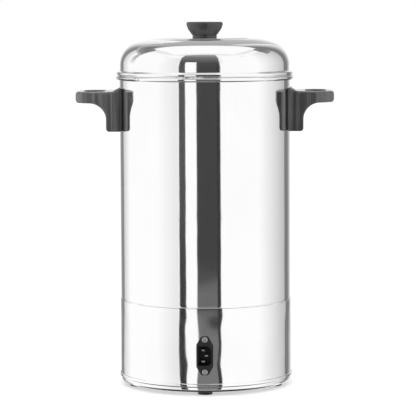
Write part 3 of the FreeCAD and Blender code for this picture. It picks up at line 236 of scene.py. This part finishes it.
# %% White tent
world = bpy.data.worlds.new("tent")
bpy.context.scene.world = world
world.use_nodes = True
tent = world.node_tree
rays = tent.nodes.new("ShaderNodeLightPath")
back = tent.nodes["Background"]
back.inputs["Color"].default_value = (1, 1, 1, 1)
seen = tent.nodes.new("ShaderNodeMath")
seen.operation = "MAXIMUM"
tent.links.new(rays.outputs["Is Camera Ray"], seen.inputs[0])
tent.links.new(rays.outputs["Is Glossy Ray"], seen.inputs[1])
clear = tent.nodes.new("ShaderNodeMath")
clear.operation = "MAXIMUM"
tent.links.new(seen.outputs[0], clear.inputs[0])
tent.links.new(rays.outputs["Is Transmission Ray"], clear.inputs[1])
level = tent.nodes.new("ShaderNodeMapRange")
tent_light = 0.72
level.inputs["To Min"].default_value = tent_light
level.inputs["To Max"].default_value = 1.0
tent.links.new(clear.outputs[0], level.inputs["Value"])
tent.links.new(level.outputs[0], back.inputs["Strength"])


def area_light(name, place, target, size, power):
    data = bpy.data.lights.new(name, "AREA")
    data.shape = "SQUARE"
    data.size = size
    data.energy = power
    lamp = bpy.data.objects.new(name, data)
    lamp.location = place
    lamp.rotation_euler = (Vector(target) - Vector(place)).to_track_quat("-Z", "Y").to_euler()
    lamp.visible_glossy = False
    bpy.context.scene.collection.objects.link(lamp)
    return lamp


area_light("top_light", (0.3, 1.0, 2.4), (0, 0, 0.2), 1.8, 12)
print("tent and lamp ready")

# %% [markdown]
# ## The floor
# The floor is one wide plane, so that no edge of it shows. A faint glow that only the camera sees
# lifts it to the tent's white, and the urn's soft contact shadow stays.


# %% Floor
floor_size = 16
floor_glow = 0.44


def new_object():
    """The object that the last operator added."""
    return bpy.context.view_layer.objects.active


def clear_selection():
    for item in bpy.context.scene.objects:
        item.select_set(False)


def floor_finish():
    finish = Finish("floor_white")
    rays = finish.node("LightPath", {}, [], "Is Camera Ray")
    glow = finish.mix(rays, (0, 0, 0, 1), (floor_glow, floor_glow, floor_glow, 1))
    finish.set(Base_Color=(0.80, 0.80, 0.80, 1), Roughness=0.6)
    finish.set(Emission_Color=glow, Emission_Strength=1.0)
    finish.shader.inputs["Specular IOR Level"].default_value = 0.2
    return finish.material


clear_selection()
bpy.ops.mesh.primitive_plane_add(size=floor_size, location=(0, 0, table_z))
floor = new_object()
floor.name = "floor"
floor.data.materials.append(floor_finish())
floor.visible_glossy = False

# %% [markdown]
# ## Cards
# A can shows its surroundings squeezed: a point whose surface faces `t` degrees away from the camera
# mirrors what stands at `2 t` degrees. The flags below are given by those doubled angles, positive
# to the right of the picture, and stand as far out as the camera does. Each card fades from one
# shade to another, as a real card does that is lit from one side.

# %% Cards that only the metal sees
card_r = camera_distance
card_centre = Vector((0, 0, rim_z))
card_cells = 24


def card_finish(name, stops, first, last, along):
    """A glowing card; stops are (angle, shade) pairs between its first and last angle."""
    finish = Finish(name)
    where = finish.node("TexCoord", {}, [], "UV")
    part = finish.node("SeparateXYZ", {}, [where], along)
    shade = finish.ramp(part, [((angle - first) / (last - first), level) for angle, level in stops])
    finish.set(Base_Color=(0, 0, 0, 1), Roughness=1.0, Emission_Color=shade, Emission_Strength=1.0)
    finish.shader.inputs["Specular IOR Level"].default_value = 0.0
    return finish.material


def only_for_metal(piece):
    """A stage piece that the camera, plain light and shadows pass by."""
    piece.visible_camera = False
    piece.visible_diffuse = False
    piece.visible_shadow = False
    piece.visible_transmission = False


def card(name, side0, side1, rise0, rise1, stops, along="Y", radius=card_r):
    """A patch of a sphere round the lid, between two side angles and two rises, in degrees."""
    clear_selection()
    bpy.ops.mesh.primitive_grid_add(x_subdivisions=card_cells, y_subdivisions=card_cells, size=1)
    piece = new_object()
    piece.name = name
    for vertex in piece.data.vertices:
        side = math.radians(side0 + (side1 - side0) * (vertex.co.x + 0.5)) + camera_turn
        rise = math.radians(rise0 + (rise1 - rise0) * (vertex.co.y + 0.5))
        flat = math.cos(rise)
        aim = Vector((-math.sin(side) * flat, math.cos(side) * flat, math.sin(rise)))
        vertex.co = card_centre + radius * aim
    first, last = (side0, side1) if along == "X" else (rise0, rise1)
    piece.data.materials.append(card_finish(name, stops, first, last, along))
    only_for_metal(piece)
    return piece


def overhead(name, half_x, y_low, y_high, rise, shade):
    """A flat card above the lid; the lengths are metres, and rise is its height over the rim."""
    clear_selection()
    middle = Matrix.Rotation(camera_turn, 4, "Z") @ Vector((0, (y_low + y_high) / 2, rim_z + rise))
    bpy.ops.mesh.primitive_plane_add(size=1, location=middle, rotation=(0, 0, camera_turn))
    piece = new_object()
    piece.scale = (2 * half_x, y_high - y_low, 1)
    bpy.ops.object.transform_apply(location=True, rotation=True, scale=True)
    piece.name = name
    piece.data.materials.append(card_finish(name, [(0, shade), (1, shade)], 0, 1, "X"))
    only_for_metal(piece)
    return piece


low_rise = -35
flag_top = 24
bar_top = 58.5
shade_top = 46
haze_low = 42
haze_top = 75
layer = 0.02
below_bar = flag_top - 3
narrow_fade = [(low_rise, 0.035), (-14, 0.035), (-6, 0.09), (flag_top, 0.07)]
wide_fade = [(low_rise, 0.23), (-13, 0.17), (-11.2, 0.055), (flag_top, 0.075)]
edge_fade = [(low_rise, 0.03), (10, 0.042), (flag_top, 0.10)]
bar_fade = [(below_bar, 0.09), (43, 0.17), (bar_top, 0.38)]
dome_fade = [(3, 1.0), (20, 0.50), (60, 0.36)]
corner_fade = [(33, 0.30), (43, 0.18), (55, 0.29)]
floor_shade_fade = [(-89.5, 0.03), (-60, 0.04), (-42, 0.30)]
haze_fade_left = [(haze_low, 1.0), (haze_top, 0.74)]
haze_fade_right = [(haze_low, 1.0), (haze_top, 0.84)]
haze_r = card_r + 3 * layer

card("flag_narrow", -34.7, -26, low_rise, flag_top, narrow_fade)
card("flag_wide", -11.2, 15.5, low_rise, flag_top, wide_fade)
card("flag_edge", 15.5, 20, low_rise, flag_top, edge_fade)
card("flag_bar", -35, 20, below_bar, bar_top, bar_fade, radius=card_r - layer)
card("shade_left", -66, -36, low_rise, 40, [(-66, 1.0), (-36, 0.82)], "X", card_r + layer)
card("shade_middle", 15, 27, flag_top - 8, bar_top, [(15, 0.80), (27, 0.98)], "X", card_r + layer)
card("shade_right", 76, 133, low_rise, shade_top, [(76, 1.0), (133, 0.5)], "X", card_r + layer)
card("edge_right", 133, 166, low_rise, 52, [(133, 0.2), (145, 0.2), (166, 0.9)], "X")
card("edge_left", -176, -143, low_rise, 30, [(-176, 1.0), (-155, 0.25), (-143, 0.25)], "X")
card("edge_left_soft", -143, -122, low_rise, 30, [(-143, 0.6), (-122, 1.0)], "X")
card("back_dome", 112, 248, 3, 60, dome_fade, radius=card_r + 2 * layer)
card("back_right", 112, 152, 33, 55, corner_fade)
card("back_left", 208, 248, 33, 55, corner_fade)
card("haze_left", -112, -35, haze_low, haze_top, haze_fade_left, radius=haze_r)
card("haze_right", 21, 112, haze_low, haze_top, haze_fade_right, radius=haze_r)
# Painted shade: a dark disc below the floor, seen only by the metal, stands in for the shaded floor
# round the urn's foot and darkens the hem and the undersides of the brims in the reflection.
card("under_floor_painted_shade", -180, 180, -89.5, -42, floor_shade_fade)
overhead("ceiling", 2.4, -1.2, 1.4, 2.25, 0.82)
overhead("soft_box", 1.30, -1.12, 0.95, 2.0, 1.0)
print("studio ready")

# %% [markdown]
# ## Polished steel
# The sheet is rolled, then polished: nearly a mirror, with fine upright polishing lines that soften
# the reflection a little, a slow waviness from the pressing, and faint smudges in scattered patches.


# %% Steel finishes
def steel(name, shade=1.0, rough=0.05, lines=0.02, waves=0.0, smudge=0.03):
    finish = Finish(name)
    streaks = finish.noise(finish.place((700, 700, 5)), 1.0, 4.0, 0.6)
    smears = finish.noise(finish.place((9, 9, 9)), 1.0, 4.0, 0.55)
    film = finish.ramp(smears, [(0.45, 0.0), (0.75, 1.0)])
    dents = finish.noise(finish.place((14, 14, 20)), 1.0, 1.0)
    bright = shade - 0.03 * streaks - smudge * film
    colour = finish.node("CombineColor", {}, [bright, bright, bright * 1.004])
    roughness = rough + lines * streaks + smudge * film
    height = streaks * 0.004 + dents * waves
    finish.set(Base_Color=colour, Metallic=1.0, Roughness=roughness, Normal=finish.bump(height, MM))
    return finish.material


def satin_steel(name, shade=0.62, rough=0.32):
    finish = Finish(name)
    grain = finish.noise(finish.place((500, 500, 500)), 1.0, 3.0)
    cloud = finish.noise(finish.place((25, 25, 25)), 1.0, 3.0)
    bright = shade - 0.08 * cloud
    colour = finish.node("CombineColor", {}, [bright, bright, bright])
    finish.set(Base_Color=colour, Metallic=1.0, Roughness=rough + 0.15 * grain * cloud,
               Normal=finish.bump(grain, 0.02 * MM))
    return finish.material


# %% [markdown]
# ## Moulded black, rubber and the small parts
# The handles are moulded and slightly glossy, with a fine mould texture. Darker upright lines in
# their colour stand in for the streaks that a real one's gloss mirrors. Rubber is duller and a little
# grey. The tinned pins, the lenses and the seals each get their own finish.


# %% Plastic and rubber finishes
def moulded(name, shade, rough, grain_height=0.012, wear=0.01, gloss=0.0, waves=0.0,
            painted_reflection_streaks=0.0):
    finish = Finish(name)
    grain = finish.noise(finish.place((1400, 1400, 1400)), 1.0, 2.0)
    cloud = finish.noise(finish.place((30, 30, 30)), 1.0, 3.0)
    lines = finish.noise(finish.place((130, 130, 7)), 1.0, 2.0)
    # Painted reflection: darker upright streaks are taken off the colour, standing in for the streaky
    # reflections of the glossy moulding.
    bright = shade + wear * cloud - painted_reflection_streaks * finish.ramp(lines, [(0.38, 1.0), (0.60, 0.0)])
    colour = finish.node("CombineColor", {}, [bright, bright, bright * 1.03])
    sink = finish.noise(finish.place((60, 60, 18)), 1.0, 1.0)
    height = grain * grain_height + sink * waves
    finish.set(Base_Color=colour, Roughness=rough + 0.08 * cloud, Normal=finish.bump(height, MM))
    finish.shader.inputs["Coat Weight"].default_value = gloss
    finish.shader.inputs["Coat Roughness"].default_value = 0.14
    return finish.material


def metal(name, colour, rough):
    finish = Finish(name)
    grain = finish.noise(finish.place((700, 700, 700)), 1.0, 3.0)
    tint = finish.mix(grain, (*colour, 1), (*[c * 0.82 for c in colour], 1))
    finish.set(Base_Color=tint, Metallic=1.0, Roughness=rough + 0.12 * grain)
    return finish.material


def lens(name, colour):
    finish = Finish(name)
    ribs = finish.node("TexWave", {"wave_type": "RINGS", "rings_direction": "Y"},
                       {"Vector": finish.place((500, 500, 500)), "Scale": 1.0})
    tint = finish.mix(ribs, (*colour, 1), (*[c * 0.6 for c in colour], 1))
    finish.set(Base_Color=tint, Roughness=0.08)
    finish.shader.inputs["Transmission Weight"].default_value = 0.25
    return finish.material


def clear_glass(name):
    finish = Finish(name)
    spots = finish.noise(finish.place((60, 60, 25)), 1.0, 3.0)
    finish.set(Base_Color=(0.93, 0.97, 0.96, 1), Roughness=0.02 + 0.05 * spots)
    finish.shader.inputs["Transmission Weight"].default_value = 1.0
    finish.shader.inputs["IOR"].default_value = 1.47
    return finish.material


finishes = {
    "tank": steel("polished_tank", waves=0.25),
    "skirt": steel("polished_skirt", waves=2.2),
    "lid": steel("polished_lid", rough=0.05, lines=0.012),
    "satin": satin_steel("satin_sheet"),
    "zinc": metal("zinc_plate", (0.72, 0.73, 0.75), 0.25),
    "chrome": metal("chrome_plate", (0.84, 0.84, 0.85), 0.06),
    "tinned": metal("tinned_brass", (0.80, 0.79, 0.76), 0.18),
    "aluminium": metal("spun_aluminium", (0.70, 0.70, 0.71), 0.35),
    # The grips carry painted reflection streaks in their colour.
    "handle": moulded("handle_black", 0.100, 0.34, wear=0.03, gloss=1.0, waves=2.0, painted_reflection_streaks=0.075),
    # The saddles are black moulding like the grips, but coloured far darker so that they also make the
    # shadow gap where the handle meets the tank: partly their own black, partly painted shade.
    "saddle": moulded("saddle_black_painted_gap_shade", 0.016, 0.5),
    "knob": moulded("knob_black", 0.035, 0.36, gloss=0.5),
    "inlet": moulded("inlet_black", 0.012, 0.42),
    "switch": moulded("switch_black", 0.018, 0.16, 0.004),
    "rubber": moulded("foot_rubber", 0.030, 0.70, 0.03),
    "seal": moulded("silicone_seal", 0.66, 0.45, 0.01),
    "ceramic": moulded("ceramic_body", 0.62, 0.6, 0.02, 0.08),
    "wire": moulded("wire_skin", 0.60, 0.6, 0.03, 0.1),
    "red": lens("red_lens", (0.75, 0.03, 0.02)),
    "amber": lens("amber_lens", (0.85, 0.36, 0.03)),
    "glass": clear_glass("gauge_glass_clear"),
}
worn_by = {
    "tank": ["tank_wall"],
    "skirt": ["base_skirt", "base_pan"],
    "lid": ["lid_shell"],
    "satin": ["tank_floor", "heating_element", "floor_posts", "pump_tube", "pump_valve", "pump_stop",
              "basket", "basket_cover"],
    "zinc": ["foot_screws", "foot_nuts", "element_clamp", "clamp_nuts", "tie_screws", "inlet_screws",
             "inlet_nuts", "handle_screws", "knob_screw", "knob_washer", "tap_spring", "tap_lever_pin",
             "gauge_cap_screw"],
    "chrome": ["lamp_holders", "tap_body", "tap_nut", "tap_bonnet", "tap_stem", "gauge_shield",
               "gauge_top_cap"],
    "tinned": ["inlet_pins", "handle_inserts"],
    "aluminium": ["spreader_plate", "pump_foot", "tube_collar"],
    "handle": ["right_grip", "left_grip"],
    "saddle": ["right_saddle", "left_saddle"],
    "knob": ["lid_knob", "knob_collar", "tap_lever"],
    "inlet": ["inlet_housing"],
    "switch": ["switch_housing", "switch_rocker"],
    "rubber": ["feet"],
    "seal": ["handle_seals", "tap_washer_outer", "tap_washer_inner", "tap_seat", "gauge_seal"],
    "ceramic": ["thermostat", "thermal_cutout", "terminal_block"],
    "wire": ["wiring"],
    "red": ["power_lamp"],
    "amber": ["ready_lamp"],
    "glass": ["gauge_glass"],
}


def dress(piece, finish):
    for spare in piece.material_slots:
        spare.material = finishes[finish]
    if not piece.material_slots:
        piece.data.materials.append(finishes[finish])


for finish, nodes in worn_by.items():
    for node in nodes:
        dress(frame["nodes"][node], finish)
print("dressed", sum(len(nodes) for nodes in worn_by.values()), "of", len(frame["nodes"]), "parts")


# %% [markdown]
# ## The moulded handles
# A real moulding has no sharp edge anywhere: the mould's tool leaves soft rounds of two or three
# millimetres. The plain solids have sharp ones, so each is copied, rebuilt as an even skin of small
# quads and then relaxed, which rounds every edge and leaves the broad faces as they were.

# %% Soft mouldings
def merged_copy(node, name):
    """A copy of a part's mesh with its loose triangles joined."""
    source = frame["nodes"][node]
    clear_selection()
    piece = bpy.data.objects.new(name, source.data.copy())
    bpy.context.scene.collection.objects.link(piece)
    bpy.context.view_layer.objects.active = piece
    piece.select_set(True)
    bpy.ops.object.mode_set(mode="EDIT")
    bpy.ops.mesh.select_all(action="SELECT")
    bpy.ops.mesh.remove_doubles(threshold=0.01 * MM)
    bpy.ops.object.mode_set(mode="OBJECT")
    return piece


def stands_for(piece, node, body):
    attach(piece, body)
    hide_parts(node)


def soft_copy(node, grain, passes, finish):
    piece = merged_copy(node, node + "_moulding")
    remesh = piece.modifiers.new("even_skin", "REMESH")
    remesh.mode = "VOXEL"
    remesh.voxel_size = grain
    bpy.ops.object.modifier_apply(modifier=remesh.name)
    relax = piece.modifiers.new("relax", "SMOOTH")
    relax.factor = 0.5
    relax.iterations = passes
    bpy.ops.object.modifier_apply(modifier=relax.name)
    bpy.ops.object.shade_smooth()
    piece.data.materials.clear()
    piece.data.materials.append(finishes[finish])
    stands_for(piece, node, "urn")
    print(piece.name, len(piece.data.polygons), "faces")


for side in ("right", "left"):
    soft_copy(side + "_grip", 0.8 * MM, 14, "handle")
    soft_copy(side + "_saddle", 0.7 * MM, 3, "saddle")

# %% [markdown]
# ## The spring in the tap
# Pulling the lever lifts the stem by about three millimetres, and the spring above the seat is
# squeezed by as much. A stiff copy would cut through the seat; this copy stays stiff, and only its
# length and the stem's travel are worked out. Its upper end rests in the bonnet.

# %% Tap spring
spring = merged_copy("tap_spring", "tap_spring_coil")
bpy.ops.object.shade_smooth()
spring_low, spring_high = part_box("tap_spring")
spring_length = spring_high[2] - spring_low[2]
stem_lift = next(joint for joint in frame["joints"] if joint["name"] == "stem_lift")
stem_travel = max(abs(end) for end in stem_lift["range_m"])
stands_for(spring, "tap_spring", "urn")
1 - stem_travel / spring_length
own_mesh(spring)
print("spring %.1f mm long, squeezed by %.1f mm" % (spring_length / MM, stem_travel / MM))
